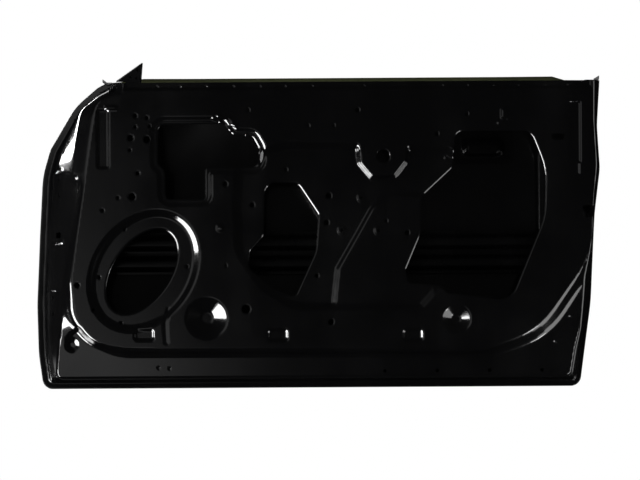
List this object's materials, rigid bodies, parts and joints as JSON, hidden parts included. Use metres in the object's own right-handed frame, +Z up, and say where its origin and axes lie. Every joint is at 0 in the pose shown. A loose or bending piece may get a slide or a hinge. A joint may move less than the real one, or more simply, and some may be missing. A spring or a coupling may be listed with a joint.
{
  "type": "car door shell",
  "caption": "Bare pressed-steel shell of a right-hand front car door for frameless glass: inner panel, outer skin, impact beam and reinforcements.",
  "frame": {"origin": "centre of the upper hinge pad, on its outer face", "axes": "+X rearwards along the door from the hinge end to the latch end, +Y outwards from the cabin, +Z up"},
  "size_m": [1.3895, 0.1623, 0.7904],
  "materials": {
    "panel_primer": "glossy black dip primer",
    "bracket_primer": "semi-gloss black dip primer",
    "fastener_primer": "satin black dip primer on steel",
    "mastic": "matte"
  },
  "bodies": {
    "root": {"inner_panel": "panel_primer", "outer_skin": "panel_primer", "mirror_flag": "bracket_primer", "mirror_reinforcement": "bracket_primer", "mirror_nut_1": "fastener_primer", "mirror_nut_2": "fastener_primer", "mirror_nut_3": "fastener_primer", "belt_reinforcement_outer": "bracket_primer", "belt_reinforcement_inner": "bracket_primer", "impact_beam": "bracket_primer", "impact_beam_front_bracket": "bracket_primer", "impact_beam_rear_bracket": "bracket_primer", "flutter_bead_1": "mastic", "flutter_bead_2": "mastic", "flutter_bead_3": "mastic", "flutter_bead_4": "mastic", "outer_handle_reinforcement": "bracket_primer", "hinge_reinforcement_upper": "bracket_primer", "hinge_reinforcement_lower": "bracket_primer", "hinge_tapped_plate_upper": "fastener_primer", "hinge_tapped_plate_lower": "fastener_primer", "check_link_reinforcement": "bracket_primer", "latch_reinforcement": "bracket_primer", "glass_run_bracket_front": "bracket_primer", "glass_run_bracket_rear": "bracket_primer", "pull_nut_1": "fastener_primer", "pull_nut_2": "fastener_primer", "pull_nut_3": "fastener_primer", "carrier_stud": "fastener_primer", "belt_corner_bracket_front": "bracket_primer", "belt_corner_bracket_rear": "bracket_primer"}
  },
  "joints": []
}
